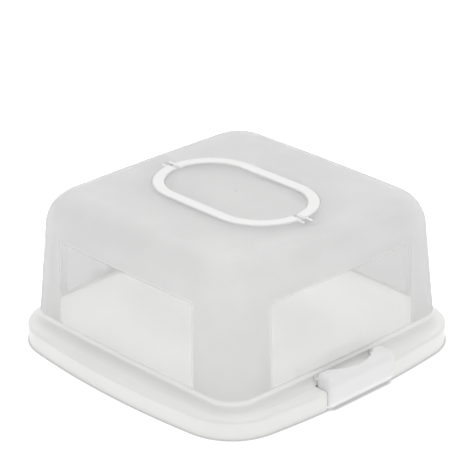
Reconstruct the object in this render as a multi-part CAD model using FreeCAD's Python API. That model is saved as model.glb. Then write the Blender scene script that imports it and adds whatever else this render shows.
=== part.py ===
import FreeCAD, Part
import math
import os

# A square cake carrier: a white tray, a translucent lift-off hood, two side latches that
# hinge on the tray, and a folding handle in two halves that lies in the hood's top.
# Millimetres, +Z up, origin on the table under the middle of the tray. The latches are on
# the +X and -X sides, and the handle's long axis runs along X.

V = FreeCAD.Vector
X_AXIS = V(1, 0, 0)
Y_AXIS = V(0, 1, 0)

# Tray
tray_half = 165.0             # middle of a side to the centre, at the ledge
tray_bow = 15.6               # the middle of a side stands out past its ends
tray_corner_radius = 56.0
tray_draft = 0.6              # the skirt is this much narrower at the table
ledge_z = 19.5                # top of the flat ledge round the hood
rim_round = 3.0               # rounding between skirt and ledge
tray_wall = 2.6
step_rise = 8.9               # the hood's seat above the ledge
step_wall = 3.0
cove_round = 8.0              # hollow rounding between ledge and step
platform_rise = 2.1           # the cake platform above the hood's seat
platform_clearance = 0.9      # between the platform and the hood's wall
platform_round = 1.2

# Hood
ledge_width = 21.5            # side of the tray to the hood's wall, just above the foot bead
hood_bow = 3.2                # the same for the hood's walls
hood_foot_corner_radius = 28.0
hood_top_z = 153.5
hood_top_taper = 2.6          # each wall leans in by this much up to the top
hood_top_corner_radius = 51.5
hood_top_round = 34.0
hood_wall = 2.0
bead_step = 1.5               # the foot bead stands out from the wall
bead_height = 1.0
bead_shoulder = 2.2           # slope from the bead back to the wall
bead_overhang = 2.0           # the bead stands out past the tray's step
gate_mark_radius = 1.5
gate_mark_depth = 0.5

# Handle: an oval ring split across its ends into two bails
ring_length = 179.6
ring_width = 108.4
ring_band = 11.6
ring_thick = 7.0
ring_proud = 1.4
ring_round = 1.8
ring_split = 2.4
channel_gap = 0.5             # round the ring in its channel
channel_floor_gap = 0.5
pin_radius = 2.6
pin_length = 7.0
pin_clearance = 0.05
bearing_end_gap = 0.5
bearing_wall = 3.2
bearing_mouth = 4.8           # open top of a bearing, narrower than the pin that snaps in

# Latches
latch_length = 85.0
latch_proud = 4.5             # the outer face stands out from the tray's side
latch_depth = 21.5            # outer face to the ears' inner face
latch_wall = 2.8
latch_hinge_radius = 10.0     # hinge axis to the outer face
latch_table_gap = 0.5
latch_curl_deg = 60.0         # the outer face curls under the hinge this far
latch_barrel_radius = 5.8     # round boss that carries each hinge pin
latch_ear_rise = 4.5          # underside of the ears above the hinge axis
latch_top_z = 33.0
latch_outer_round = 9.0
latch_inner_round = 5.0
latch_end_round = 5.5
latch_end_wall = 4.0
latch_scoop_half = 36.5       # finger scoop between the ears, to where it leaves their face
latch_scoop_round = 8.0       # where the ears turn into the scoop
latch_scoop_wall = 6.0        # left in front of the scoop at its deepest
latch_end_gap = 0.4
hinge_pin_radius = 2.5
hinge_pin_length = 5.0
hinge_pin_clearance = 0.05
hinge_pin_end_gap = 0.4
hinge_lug_wall = 2.2
bay_back_gap = 0.5            # between the ears and the wall behind the latch

# Catch tongues that hang from the hood's foot behind the latch ears
catch_inset = 2.5             # from the latch's end to the tongue
catch_width = 7.5
catch_wall = 2.0
catch_drop = 5.9              # tongue below the hood's foot
catch_tooth = 2.2
catch_clearance = 0.5

# Worked out from the sizes above
hood_half = tray_half - ledge_width
tray_side_radius = (tray_half ** 2 + tray_bow ** 2) / (2 * tray_bow)
hood_side_radius = (hood_half ** 2 + hood_bow ** 2) / (2 * hood_bow)
seat_z = ledge_z + step_rise
platform_z = seat_z + platform_rise
ledge_under_z = ledge_z - tray_wall
bead_half = hood_half + bead_step
step_grow = bead_step - bead_overhang
platform_grow = -hood_wall - platform_clearance
ring_top_z = hood_top_z + ring_proud
ring_bottom_z = ring_top_z - ring_thick
ring_axis_z = ring_bottom_z + ring_thick / 2
ring_axis_y = ring_thick / 2 + ring_split / 2
ring_end_x = ring_length / 2
channel_floor_z = ring_bottom_z - channel_floor_gap
latch_half = latch_length / 2
latch_face_x = tray_half + latch_proud
latch_back_x = latch_face_x - latch_wall
latch_inner_x = latch_face_x - latch_depth
latch_axis_x = latch_face_x - latch_hinge_radius
latch_axis_z = latch_hinge_radius + latch_table_gap
latch_ear_z = latch_axis_z + latch_ear_rise
bay_back_x = latch_inner_x - bay_back_gap
bay_half = latch_half + latch_end_gap
OVER = 1.0                    # how far a cutting solid runs past the face that it cuts


def bowed_square(half, side_radius, corner_radius, z):
    """Closed outline of a square with bowed sides and round corners at height z."""
    reach = side_radius - half
    span = side_radius - corner_radius
    centre = (math.sqrt(2 * span ** 2 - reach ** 2) - reach) / 2
    turn = math.atan2(centre, centre + reach)
    edges = []
    for quarter in range(4):
        heading = quarter * math.pi / 2

        def side_point(angle):
            a = heading + angle
            x = side_radius * math.cos(a) - reach * math.cos(heading)
            y = side_radius * math.sin(a) - reach * math.sin(heading)
            return V(x, y, z)

        def corner_point(angle):
            a = heading + angle
            cx = centre * (math.cos(heading) - math.sin(heading))
            cy = centre * (math.sin(heading) + math.cos(heading))
            return V(cx + corner_radius * math.cos(a), cy + corner_radius * math.sin(a), z)

        side = Part.Arc(side_point(-turn), side_point(0), side_point(turn))
        corner = Part.Arc(side_point(turn), corner_point(math.pi / 4), corner_point(math.pi / 2 - turn))
        edges += [side.toShape(), corner.toShape()]
    return Part.Wire(edges)


def stadium(length, width, z):
    """Closed outline with two straight sides along X and two half-round ends."""
    r = width / 2
    run = length / 2 - r
    a, b, c, d = V(-run, -r, z), V(run, -r, z), V(run, r, z), V(-run, r, z)
    edges = [
        Part.LineSegment(a, b).toShape(),
        Part.Arc(b, V(run + r, 0, z), c).toShape(),
        Part.LineSegment(c, d).toShape(),
        Part.Arc(d, V(-run - r, 0, z), a).toShape(),
    ]
    return Part.Wire(edges)


def prism(wire, height):
    """Solid standing on a flat outline."""
    return Part.Face(wire).extrude(V(0, 0, height))


def annulus(outer, inner, height):
    """Solid between two flat outlines."""
    return prism(outer, height).cut(prism(inner, height))


def block(x0, x1, y0, y1, z0, z1):
    """Rectangular solid between two corners."""
    return Part.makeBox(x1 - x0, y1 - y0, z1 - z0, V(x0, y0, z0))


def edges_at(shape, z):
    """Edges of a solid that lie flat at height z."""
    flat = []
    for edge in shape.Edges:
        box = edge.BoundBox
        if abs(box.ZMin - z) < 1e-4 and abs(box.ZMax - z) < 1e-4:
            flat.append(edge)
    return flat


def side_reach(edge):
    """How far an edge lies from the centre, along X or Y."""
    box = edge.BoundBox
    return max(-box.XMin, box.XMax, -box.YMin, box.YMax)


def mirrored_x(shape):
    """The same solid on the other side of the YZ plane."""
    return shape.mirror(V(0, 0, 0), X_AXIS)


def mirrored_y(shape):
    """The same solid on the other side of the XZ plane."""
    return shape.mirror(V(0, 0, 0), Y_AXIS)


def four_way(shape):
    """A solid of one quarter and its copies in the other three."""
    pair = [shape, mirrored_y(shape)]
    return pair + [mirrored_x(one) for one in pair]


def hood_outline(grow, z):
    """Outline of the hood's wall just above its foot, grown by the given amount."""
    return bowed_square(hood_half + grow, hood_side_radius + grow, hood_foot_corner_radius + grow, z)


def hood_body(inset, feet):
    """Solid from the given foot outlines to the hood's top, which is inset and rounded."""
    lean = hood_top_taper + inset
    top_z = hood_top_z - inset
    top = bowed_square(hood_half - lean, hood_side_radius - lean, hood_top_corner_radius - inset, top_z)
    body = Part.makeLoft(feet + [top], True, True)
    return body.makeFillet(hood_top_round - inset, edges_at(body, top_z))


def tray_body(inset, top_z, low_z):
    """Solid inside the tray's skirt, inset all round."""
    low = tray_draft + inset
    sections = [
        bowed_square(tray_half - low, tray_side_radius - low, tray_corner_radius - low, low_z),
        bowed_square(tray_half - inset, tray_side_radius - inset, tray_corner_radius - inset, top_z),
    ]
    return Part.makeLoft(sections, True, True)


def hinge_bay():
    """What the +X latch needs cut from the tray: an open notch and two pin bores."""
    notch = block(bay_back_x, latch_face_x + OVER, -bay_half, bay_half, -OVER, seat_z)
    reach = latch_half + hinge_pin_length + hinge_pin_end_gap
    bore = Part.makeCylinder(hinge_pin_radius + hinge_pin_clearance, 2 * reach,
                             V(latch_axis_x, -reach, latch_axis_z), Y_AXIS)
    return notch.fuse(bore)


def hinge_block():
    """Solid kept under the ledge round the +X bay, for its walls and hinge lugs."""
    half = latch_half + hinge_pin_length + hinge_pin_end_gap + hinge_lug_wall
    return block(bay_back_x - tray_wall, tray_half + OVER, -half, half, -2 * OVER, ledge_z)


def catch_tongue():
    """Hooked tongue under the hood's foot, behind the ear in the +X, +Y quarter."""
    y1 = latch_half - catch_inset
    y0 = y1 - catch_width
    x0 = bead_half - catch_wall
    low_z = seat_z - catch_drop
    stem = block(x0, bead_half, y0, y1, low_z, seat_z + OVER)
    tooth = block(x0, latch_inner_x - catch_clearance, y0, y1, low_z, low_z + catch_tooth)
    return stem.fuse(tooth)


def catch_slot():
    """Slot in the tray's step that the tongue drops into."""
    y1 = latch_half - catch_inset
    y0 = y1 - catch_width
    x0 = bead_half - catch_wall - catch_clearance
    low_z = seat_z - catch_drop - catch_clearance
    return block(x0, latch_inner_x, y0 - catch_clearance, y1 + catch_clearance, low_z, seat_z + OVER)


def make_tray():
    step = prism(hood_outline(step_grow, ledge_under_z), seat_z - ledge_under_z)
    body = tray_body(0, ledge_z, 0)
    body = body.makeFillet(rim_round, edges_at(body, ledge_z)).fuse(step)
    foot = [edge for edge in edges_at(body, ledge_z) if side_reach(edge) < bead_half]
    body = body.makeFillet(cove_round, foot)
    platform = prism(hood_outline(platform_grow, ledge_under_z), platform_z - ledge_under_z)
    platform = platform.makeFillet(platform_round, edges_at(platform, platform_z))

    hollow = tray_body(tray_wall, ledge_under_z, -OVER)
    low_z = ledge_under_z - OVER
    under_step = prism(hood_outline(step_grow - step_wall, low_z), seat_z - tray_wall - low_z)
    under_platform = prism(hood_outline(platform_grow - tray_wall, low_z), platform_z - tray_wall - low_z)
    kept = hinge_block()
    hollow = hollow.fuse([under_step, under_platform]).cut([kept, mirrored_x(kept)])
    bay = hinge_bay()
    cuts = [hollow, bay, mirrored_x(bay)] + four_way(catch_slot())
    return body.fuse(platform).cut(cuts).removeSplitter()


def bearing_block():
    """Boss at the +X end of the channel that holds one pin of each half."""
    x1 = ring_end_x + pin_length + bearing_end_gap + bearing_wall
    half = ring_axis_y + pin_radius + bearing_wall
    return block(ring_end_x, x1, -half, half, channel_floor_z - hood_wall, hood_top_z)


def bearing_bores():
    """Bores for the two pins at the +X end, open along the top so that the pins snap in."""
    depth = pin_length + bearing_end_gap
    cuts = []
    for y in (-ring_axis_y, ring_axis_y):
        start = V(ring_end_x, y, ring_axis_z)
        cuts.append(Part.makeCylinder(pin_radius + pin_clearance, depth, start, X_AXIS))
        cuts.append(block(ring_end_x, ring_end_x + depth, y - bearing_mouth / 2, y + bearing_mouth / 2,
                          ring_axis_z, hood_top_z + OVER))
    return cuts[0].fuse(cuts[1:])


def make_hood():
    bead_top_z = seat_z + bead_height
    feet = [
        hood_outline(bead_step, seat_z),
        hood_outline(bead_step, bead_top_z),
        hood_outline(0, bead_top_z + bead_shoulder),
    ]
    shell = hood_body(0, feet).cut(hood_body(hood_wall, [hood_outline(-hood_wall, seat_z - OVER)]))

    # Channel that the handle lies in, with its bearings
    wide = 2 * channel_gap
    narrow = 2 * (ring_band + channel_gap)
    wall = 2 * hood_wall
    under_z = channel_floor_z - hood_wall
    trough = annulus(stadium(ring_length + wide + wall, ring_width + wide + wall, under_z),
                     stadium(ring_length - narrow - wall, ring_width - narrow - wall, under_z),
                     hood_top_z - under_z)
    boss = bearing_block()
    shell = shell.fuse([trough, boss, mirrored_x(boss)])

    channel = annulus(stadium(ring_length + wide, ring_width + wide, channel_floor_z),
                      stadium(ring_length - narrow, ring_width - narrow, channel_floor_z),
                      ring_thick)
    bores = bearing_bores()
    gate = Part.makeCylinder(gate_mark_radius, gate_mark_depth + OVER, V(0, 0, hood_top_z - gate_mark_depth))
    shell = shell.cut([channel, bores, mirrored_x(bores), gate])
    return shell.fuse(four_way(catch_tongue())).removeSplitter()


def make_front_handle():
    ring = annulus(stadium(ring_length, ring_width, ring_bottom_z),
                   stadium(ring_length - 2 * ring_band, ring_width - 2 * ring_band, ring_bottom_z),
                   ring_thick)
    rims = edges_at(ring, ring_bottom_z) + edges_at(ring, ring_top_z)
    ring = ring.makeFillet(ring_round, rims)
    reach = ring_length
    bail = ring.cut(block(-reach, reach, -ring_axis_y, reach, ring_bottom_z - OVER, ring_top_z + OVER))
    inner_x = ring_end_x - ring_band
    knuckle = Part.makeCylinder(ring_thick / 2, ring_band, V(inner_x, -ring_axis_y, ring_axis_z), X_AXIS)
    knuckle = knuckle.makeFillet(ring_round, [edge for edge in knuckle.Edges if edge.isClosed()])
    pin = Part.makeCylinder(pin_radius, ring_round + pin_length,
                            V(ring_end_x - ring_round, -ring_axis_y, ring_axis_z), X_AXIS)
    ends = [knuckle, pin, mirrored_x(knuckle), mirrored_x(pin)]
    return bail.fuse(ends).removeSplitter()


def latch_point(x, z, radius=0.0, angle=0.0):
    """Point in the latch's end plane, or on a circle about that point."""
    return V(x + radius * math.cos(angle), -latch_half, z + radius * math.sin(angle))


def latch_crest(x0, x1, top_z, inner_round, outer_round):
    """Edges over the top of the latch, from the outer face at x1 to the inner face at x0."""
    up = math.pi / 2
    outer = [latch_point(x1 - outer_round, top_z - outer_round, outer_round, a) for a in (0, up / 2, up)]
    inner = [latch_point(x0 + inner_round, top_z - inner_round, inner_round, a) for a in (up, 1.5 * up, 2 * up)]
    return [
        Part.Arc(*outer),
        Part.LineSegment(outer[2], inner[0]),
        Part.Arc(*inner),
    ]


def latch_bar(edges, y0, length):
    """Bar along Y from a closed run of edges in the latch's end plane."""
    face = Part.Face(Part.Wire([edge.toShape() for edge in edges]))
    return face.extrude(V(0, length, 0)).translated(V(0, y0 + latch_half, 0))


def latch_blank():
    """The +X latch as a solid bar with rounded ends: hinge, outer face and ears."""
    def hinge(angle):
        return latch_point(latch_axis_x, latch_axis_z, latch_hinge_radius, angle)

    curl = math.radians(-latch_curl_deg)
    crest = latch_crest(latch_inner_x, latch_face_x, latch_top_z, latch_inner_round, latch_outer_round)
    ear_low = latch_point(latch_inner_x, latch_ear_z)
    run = [Part.Arc(hinge(curl), hinge(curl / 2), hinge(0)), Part.LineSegment(hinge(0), crest[0].StartPoint)]
    run += crest
    run.append(Part.LineSegment(crest[2].EndPoint, ear_low))
    blank = latch_bar(run + [Part.LineSegment(ear_low, hinge(curl))], -latch_half, latch_length)
    ends = []
    for edge in run:
        near = edge.toShape().CenterOfMass
        far = near + V(0, latch_length, 0)
        for made in blank.Edges:
            centre = made.CenterOfMass
            if min(centre.distanceToPoint(near), centre.distanceToPoint(far)) < 1e-3:
                ends.append(made)
    return blank.makeFillet(latch_end_round, ends)


def latch_pocket():
    """Hollow behind the +X latch's face, between its end walls."""
    x0 = latch_inner_x + latch_wall
    top_z = latch_top_z - latch_wall
    crest = latch_crest(x0, latch_back_x, top_z, latch_inner_round - latch_wall, latch_outer_round - latch_wall)
    low_a = latch_point(x0, latch_axis_z)
    low_b = latch_point(latch_back_x, latch_axis_z)
    edges = crest + [
        Part.LineSegment(crest[2].EndPoint, low_a),
        Part.LineSegment(low_a, low_b),
        Part.LineSegment(low_b, crest[0].StartPoint),
    ]
    half = latch_half - latch_end_wall
    hollow = latch_bar(edges, -half, 2 * half)
    barrel = Part.makeCylinder(latch_hinge_radius - latch_wall, 2 * half,
                               V(latch_axis_x, -half, latch_axis_z), Y_AXIS)
    return hollow.fuse(barrel)


def latch_scoop():
    """Upright cutter for the finger scoop: a hollow arc that runs out into the ears on two round ones."""
    depth = latch_depth - latch_scoop_wall
    ear_r = latch_scoop_round
    hollow_r = (depth ** 2 + latch_scoop_half ** 2) / (2 * depth) - ear_r
    hollow_x = latch_inner_x + depth - hollow_r
    ear_x = latch_inner_x + ear_r
    lean = math.atan2(latch_scoop_half, ear_x - hollow_x)

    def hollow(angle):
        return V(hollow_x + hollow_r * math.cos(angle), hollow_r * math.sin(angle), latch_axis_z)

    def ear(side, angle):
        y = side * (latch_scoop_half - ear_r * math.sin(angle))
        return V(ear_x - ear_r * math.cos(angle), y, latch_axis_z)

    back_x = latch_inner_x - OVER
    near = V(back_x, -latch_scoop_half, latch_axis_z)
    far = V(back_x, latch_scoop_half, latch_axis_z)
    edges = [
        Part.LineSegment(near, ear(-1, 0)),
        Part.Arc(ear(-1, 0), ear(-1, lean / 2), ear(-1, lean)),
        Part.Arc(hollow(-lean), hollow(0), hollow(lean)),
        Part.Arc(ear(1, lean), ear(1, lean / 2), ear(1, 0)),
        Part.LineSegment(ear(1, 0), far),
        Part.LineSegment(far, near),
    ]
    return prism(Part.Wire([edge.toShape() for edge in edges]), latch_top_z)


def make_right_latch():
    latch = latch_blank().cut([latch_pocket(), latch_scoop()])
    foot = V(latch_axis_x, latch_half - latch_end_wall, latch_axis_z)
    barrel = Part.makeCylinder(latch_barrel_radius, latch_end_wall, foot, Y_AXIS)
    pin = Part.makeCylinder(hinge_pin_radius, latch_end_wall + hinge_pin_length, foot, Y_AXIS)
    return latch.fuse([barrel, pin, mirrored_y(barrel), mirrored_y(pin)]).removeSplitter()


def write(name, shape):
    """Save one piece, after checking that it is a single sound solid."""
    solids = shape.Solids
    if len(solids) != 1 or not solids[0].isValid():
        raise RuntimeError(name + " is not one sound solid")
    solids[0].exportStep("parts/" + name + ".step")
    print(name, "volume cm3", round(solids[0].Volume / 1000, 1), "faces", len(solids[0].Faces))


os.makedirs("parts", exist_ok=True)
front_handle = make_front_handle()
right_latch = make_right_latch()
pieces = {
    "base_tray": make_tray(),
    "hood": make_hood(),
    "front_handle_half": front_handle,
    "rear_handle_half": mirrored_y(front_handle),
    "right_latch": right_latch,
    "left_latch": mirrored_x(right_latch),
}
for name, shape in pieces.items():
    write(name, shape)
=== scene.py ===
import math

import bpy
from mathutils import Matrix, Vector

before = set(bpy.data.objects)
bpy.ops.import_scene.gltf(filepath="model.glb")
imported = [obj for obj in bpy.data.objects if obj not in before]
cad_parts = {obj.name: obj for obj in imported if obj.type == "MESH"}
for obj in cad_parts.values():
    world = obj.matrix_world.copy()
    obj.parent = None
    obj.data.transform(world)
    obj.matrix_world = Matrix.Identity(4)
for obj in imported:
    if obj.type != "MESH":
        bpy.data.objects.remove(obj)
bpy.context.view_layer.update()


def grey(value):
    return (value, value, value, 1.0)


# Camera, fitted to the photograph (degrees, metres and millimetres)
CAMERA_AZIMUTH = 46.547
CAMERA_ELEVATION = 24.972
CAMERA_ROLL = -0.518
CAMERA_DISTANCE = 2.1038
CAMERA_TARGET_Z = 0.09555
CAMERA_LENS_MM = 168.42
CAMERA_SENSOR_MM = 36.0
CAMERA_SHIFT_X = 0.0025
CAMERA_SHIFT_Y = 0.0217

# Hood, zones of its finish (metres)
WINDOW_HALF = 0.0925          # half width of the clear flat of each wall
WINDOW_TOP = 0.118            # top of the clear flat
WINDOW_SOFT = 0.003           # half width of the change from clear to frosted
BEAD_TOP = 0.0328             # top of the bead round the foot
BEAD_SOFT = 0.0012
CROWN_FOOT = 0.128            # the walls' milky tone ends here
CROWN_TOP = 0.152             # and the top's darker tone, which is painted shade, begins here

# Hood, finish
CLEAR_ROUGHNESS = 0.06
FROST_ROUGHNESS = 0.5         # added where the plastic is frosted
CLOUD_ROUGHNESS = 0.04        # added by the cloudiness
CLEAR_TRANSMISSION = 0.93
FROST_TRANSMISSION = 0.66
BEAD_TRANSMISSION = -0.64     # added on the bead, which is nearly opaque
CLEAR_TONE = grey(0.87)
# Milky tones of the frosted walls, then darker ones for the top. The top's darker tones are
# painted shade that offsets the stronger overhead light the top gets.
SIDE_TONES = (grey(0.775), grey(0.805))
TOP_SHADED_TONES = (grey(0.73), grey(0.76))
# The bead's white is partly its thicker, nearly opaque plastic and partly a painted highlight: it
# stands in for the bright line along the foot
BEAD_WHITE_AND_HIGHLIGHT = (0.95, 0.95, 0.94, 1.0)
LAMP_TINT = grey(0.9)         # what the hood lets through of the lamps' light
HOOD_IOR = 1.3
HOOD_CLOUD = 30.0             # noise scales, per metre
HOOD_GRAIN = 1400.0
HOOD_GRAIN_STRENGTH = 0.15
HOOD_GRAIN_DEPTH = 0.00005

# White plastics, what they share
WHITE_IOR = 1.49
WHITE_CLOUD = 14.0            # noise scale, per metre
WHITE_GRAIN_STRENGTH = 0.25
WHITE_TONE_SPAN = (0.35, 0.65)

# All plastics
CLOUD_DETAIL = 3.0
GRAIN_DETAIL = 2.0
CLOUD_SPAN = (0.3, 0.7)       # the part of the noise's range that is used

# Floor: a pale table that glows, and is dim where the object touches it, which is a painted
# contact shadow
FLOOR_SIZE = 8.0
FLOOR_TONE = grey(0.9)
FLOOR_ROUGHNESS = 0.9
GLOW_SHARE = 0.8
GLOW = 1.42
GLOW_THROUGH_HOOD = 0.8
CONTACT_GLOW = 0.47
CONTACT_REACH = 0.0056
CONTACT_SAMPLES = 32
CONTACT_OPENNESS = (0.5, 0.87)

# World and lamps
DOME_HORIZON = 0.06
DOME_ZENITH = 1.0
BACKDROP = 1.0
LAMP_AIM = (0.0, 0.0, 0.05)


class Graph:
    """A small helper that adds and links shader nodes."""

    def __init__(self, tree):
        self.tree = tree

    def node(self, kind, **settings):
        made = self.tree.nodes.new(kind)
        for name, value in settings.items():
            setattr(made, name, value)
        return made

    def feed(self, socket, value):
        if isinstance(value, bpy.types.NodeSocket):
            self.tree.links.new(value, socket)
        else:
            socket.default_value = value

    def place(self):
        return self.node("ShaderNodeTexCoord").outputs["Object"]

    def split(self, vector):
        made = self.node("ShaderNodeSeparateXYZ")
        self.feed(made.inputs[0], vector)
        return made.outputs

    def math(self, operation, *values):
        made = self.node("ShaderNodeMath", operation=operation)
        for socket, value in zip(made.inputs, values):
            self.feed(socket, value)
        return made.outputs[0]

    def noise(self, vector, scale, detail):
        made = self.node("ShaderNodeTexNoise")
        self.feed(made.inputs["Vector"], vector)
        made.inputs["Scale"].default_value = scale
        made.inputs["Detail"].default_value = detail
        return made.outputs["Fac"]

    def remap(self, value, from_low, from_high, to_low, to_high, interpolation="LINEAR"):
        made = self.node("ShaderNodeMapRange", interpolation_type=interpolation)
        for name, number in (("From Min", from_low), ("From Max", from_high),
                             ("To Min", to_low), ("To Max", to_high)):
            self.feed(made.inputs[name], number)
        self.feed(made.inputs["Value"], value)
        return made.outputs["Result"]

    def edge(self, value, middle, soft, below=0.0, above=1.0):
        """A smooth change from one level to another, about a middle value."""
        return self.remap(value, middle - soft, middle + soft, below, above, "SMOOTHSTEP")

    def mix_colour(self, factor, a, b):
        made = self.node("ShaderNodeMix", data_type="RGBA")
        self.feed(made.inputs["Factor"], factor)
        self.feed(made.inputs["A"], a)
        self.feed(made.inputs["B"], b)
        return made.outputs["Result"]

    def bump(self, height, strength, distance):
        made = self.node("ShaderNodeBump")
        made.inputs["Strength"].default_value = strength
        made.inputs["Distance"].default_value = distance
        self.feed(made.inputs["Height"], height)
        return made.outputs["Normal"]

    def surface(self, factor, first, second):
        """The material's surface is a mix of two shaders."""
        made = self.node("ShaderNodeMixShader")
        for socket, value in zip(made.inputs, (factor, first.outputs[0], second.outputs[0])):
            self.feed(socket, value)
        self.feed(self.tree.nodes["Material Output"].inputs["Surface"], made.outputs[0])


def new_material(name):
    material = bpy.data.materials.new(name)
    material.use_nodes = True
    return material, Graph(material.node_tree), material.node_tree.nodes["Principled BSDF"]


def moulded_white(name, dark, light, sheen, grain, grain_depth):
    """White moulded plastic: faint cloudiness, uneven sheen and a fine sparked grain."""
    material, graph, shader = new_material(name)
    place = graph.place()
    smoothest, roughest = sheen
    cloud = graph.noise(place, WHITE_CLOUD, CLOUD_DETAIL)
    fine = graph.noise(place, grain, GRAIN_DETAIL)
    tone = graph.remap(cloud, *WHITE_TONE_SPAN, 0.0, 1.0)
    graph.feed(shader.inputs["Base Color"], graph.mix_colour(tone, dark, light))
    graph.feed(shader.inputs["Roughness"], graph.remap(cloud, *CLOUD_SPAN, roughest, smoothest))
    graph.feed(shader.inputs["Normal"], graph.bump(fine, WHITE_GRAIN_STRENGTH, grain_depth))
    shader.inputs["IOR"].default_value = WHITE_IOR
    return material


def let_lamps_through(graph, shader):
    """Light from the lamps and the world reaches what the plastic encloses."""
    path = graph.node("ShaderNodeLightPath")
    clear = graph.node("ShaderNodeBsdfTransparent")
    clear.inputs["Color"].default_value = LAMP_TINT
    graph.surface(path.outputs["Is Shadow Ray"], shader, clear)


def hood_zones(graph, across, deep, height):
    """Masks of the frosted zones, the bead round the foot and the top, where a darker tone is
    painted shade.
    """
    along = graph.math("MINIMUM", graph.math("ABSOLUTE", across), graph.math("ABSOLUTE", deep))
    beside = graph.edge(along, WINDOW_HALF, WINDOW_SOFT)
    above = graph.edge(height, WINDOW_TOP, WINDOW_SOFT)
    foot = graph.edge(height, BEAD_TOP, BEAD_SOFT, 1.0, 0.0)
    # A ray that is already inside the plastic doesn't meet the bead's opaque finish
    inside = graph.node("ShaderNodeNewGeometry").outputs["Backfacing"]
    bead = graph.math("MULTIPLY", foot, graph.math("SUBTRACT", 1.0, inside))
    frost = graph.math("MAXIMUM", graph.math("MAXIMUM", beside, above), bead)
    top_shade = graph.remap(height, CROWN_FOOT, CROWN_TOP, 0.0, 1.0, "SMOOTHSTEP")
    return frost, bead, top_shade


def frosted_hood():
    """Translucent plastic: clear on the flat of each wall, frosted over the corners and top."""
    material, graph, shader = new_material("hood_plastic")
    place = graph.place()
    frost, bead, top_shade = hood_zones(graph, *graph.split(place))
    cloud = graph.noise(place, HOOD_CLOUD, CLOUD_DETAIL)
    fine = graph.noise(place, HOOD_GRAIN, GRAIN_DETAIL)

    rough = graph.math("MULTIPLY_ADD", frost, FROST_ROUGHNESS, CLEAR_ROUGHNESS)
    rough = graph.math("MULTIPLY_ADD", cloud, CLOUD_ROUGHNESS, rough)
    graph.feed(shader.inputs["Roughness"], rough)

    through = graph.remap(frost, 0.0, 1.0, CLEAR_TRANSMISSION, FROST_TRANSMISSION)
    through = graph.math("MULTIPLY_ADD", bead, BEAD_TRANSMISSION, through)
    graph.feed(shader.inputs["Transmission Weight"], through)

    tone = graph.remap(cloud, *CLOUD_SPAN, 0.0, 1.0)
    milky_side = graph.mix_colour(tone, *SIDE_TONES)
    # The top's darker milky tone is painted shade, offsetting the overhead lamp
    shaded_milky_top = graph.mix_colour(tone, *TOP_SHADED_TONES)
    milky = graph.mix_colour(top_shade, milky_side, shaded_milky_top)
    body = graph.mix_colour(frost, CLEAR_TONE, milky)
    # The bead's white is partly real and partly a painted highlight along the foot
    graph.feed(shader.inputs["Base Color"], graph.mix_colour(bead, body, BEAD_WHITE_AND_HIGHLIGHT))

    graph.feed(shader.inputs["Normal"], graph.bump(fine, HOOD_GRAIN_STRENGTH, HOOD_GRAIN_DEPTH))
    shader.inputs["IOR"].default_value = HOOD_IOR
    let_lamps_through(graph, shader)
    return material


def finish_nodes():
    tray_white = moulded_white(
        "tray_white", dark=(0.87, 0.87, 0.85, 1.0), light=(0.90, 0.90, 0.885, 1.0),
        sheen=(0.31, 0.39), grain=1100.0, grain_depth=0.00005)
    latch_white = moulded_white(
        "latch_white", dark=(0.875, 0.875, 0.88, 1.0), light=(0.90, 0.90, 0.905, 1.0),
        sheen=(0.32, 0.42), grain=1300.0, grain_depth=0.00004)
    handle_white = moulded_white(
        "handle_white", dark=(0.92, 0.92, 0.915, 1.0), light=(0.94, 0.94, 0.935, 1.0),
        sheen=(0.34, 0.44), grain=1300.0, grain_depth=0.00004)
    finishes = {
        "base_tray": tray_white,
        "hood": frosted_hood(),
        "front_handle_half": handle_white,
        "rear_handle_half": handle_white,
        "right_latch": latch_white,
        "left_latch": latch_white,
    }
    for name, material in finishes.items():
        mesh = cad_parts[name].data
        mesh.materials.clear()
        mesh.materials.append(material)


def glowing_floor():
    material, graph, shader = new_material("floor_white")
    shader.inputs["Base Color"].default_value = FLOOR_TONE
    shader.inputs["Roughness"].default_value = FLOOR_ROUGHNESS
    shader.inputs["Specular IOR Level"].default_value = 0.0
    path = graph.node("ShaderNodeLightPath")
    glow = graph.node("ShaderNodeEmission")
    # Painted contact shadow: an ambient occlusion mask dims the floor's glow close to the object
    contact_shadow = graph.node("ShaderNodeAmbientOcclusion", samples=CONTACT_SAMPLES)
    contact_shadow.inputs["Distance"].default_value = CONTACT_REACH
    open_glow = graph.remap(path.outputs["Is Transmission Ray"], 0.0, 1.0, GLOW, GLOW_THROUGH_HOOD)
    strength = graph.remap(contact_shadow.outputs["AO"], *CONTACT_OPENNESS, CONTACT_GLOW, open_glow)
    graph.feed(glow.inputs["Strength"], strength)
    graph.surface(GLOW_SHARE, shader, glow)
    return material


def lay_floor():
    bpy.ops.mesh.primitive_plane_add(size=FLOOR_SIZE, location=(0.0, 0.0, 0.0))
    floor = bpy.context.object
    floor.name = "floor"
    floor.data.materials.append(glowing_floor())


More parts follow.
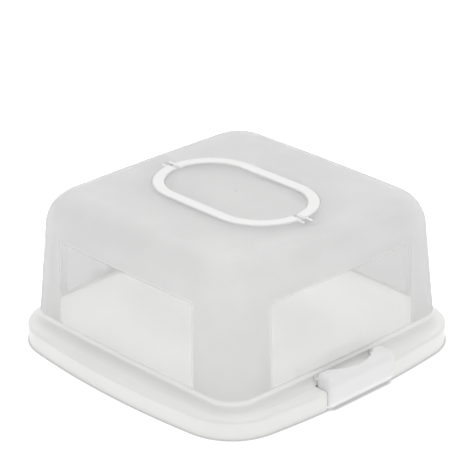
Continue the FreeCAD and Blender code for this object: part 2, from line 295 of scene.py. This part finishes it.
def studio_world():
    """A dome that is dark at the horizon, and white where it is seen or mirrored."""
    world = bpy.data.worlds.new("studio")
    bpy.context.scene.world = world
    world.use_nodes = True
    graph = Graph(world.node_tree)
    path = graph.node("ShaderNodeLightPath").outputs
    mirrored = graph.math("MAXIMUM", path["Is Glossy Ray"], path["Is Transmission Ray"])
    seen = graph.math("MAXIMUM", path["Is Camera Ray"], mirrored)
    way = graph.split(graph.node("ShaderNodeTexCoord").outputs["Generated"])
    dome = graph.remap(way["Z"], 0.0, 1.0, DOME_HORIZON, DOME_ZENITH)
    background = world.node_tree.nodes["Background"]
    background.inputs["Color"].default_value = grey(1.0)
    graph.feed(background.inputs["Strength"], graph.remap(seen, 0.0, 1.0, dome, BACKDROP))


def softbox(name, place, size, power):
    light = bpy.data.lights.new(name, "AREA")
    light.shape = "DISK"
    light.size = size
    light.energy = power
    lamp = bpy.data.objects.new(name, light)
    lamp.location = place
    lamp.rotation_mode = "QUATERNION"
    lamp.rotation_quaternion = (Vector(LAMP_AIM) - Vector(place)).to_track_quat("-Z", "Y")
    bpy.context.scene.collection.objects.link(lamp)


def photo_camera():
    azimuth = math.radians(CAMERA_AZIMUTH)
    elevation = math.radians(CAMERA_ELEVATION)
    back = Vector((math.sin(azimuth) * math.cos(elevation),
                   -math.cos(azimuth) * math.cos(elevation), math.sin(elevation)))
    level = Vector((math.cos(azimuth), math.sin(azimuth), 0.0))
    upright = back.cross(level)
    roll = math.radians(CAMERA_ROLL)
    right = level * math.cos(roll) + upright * math.sin(roll)
    up = upright * math.cos(roll) - level * math.sin(roll)
    data = bpy.data.cameras.new("photo_camera")
    data.sensor_width = CAMERA_SENSOR_MM
    data.lens = CAMERA_LENS_MM
    data.shift_x = CAMERA_SHIFT_X
    data.shift_y = CAMERA_SHIFT_Y
    camera = bpy.data.objects.new("photo_camera", data)
    turn = Matrix((right, up, back)).transposed().to_4x4()
    place = Vector((0.0, 0.0, CAMERA_TARGET_Z)) + back * CAMERA_DISTANCE
    camera.matrix_world = Matrix.Translation(place) @ turn
    bpy.context.scene.collection.objects.link(camera)
    bpy.context.scene.camera = camera


finish_nodes()
lay_floor()
studio_world()
softbox("key", place=(0.0, 0.2, 2.3), size=0.9, power=11.5)
softbox("right_fill", place=(1.9, -0.3, 1.3), size=1.2, power=0.4)
softbox("left_fill", place=(-0.4, -1.9, 1.0), size=1.2, power=0.3)
photo_camera()
bpy.context.scene.view_settings.view_transform = "Standard"
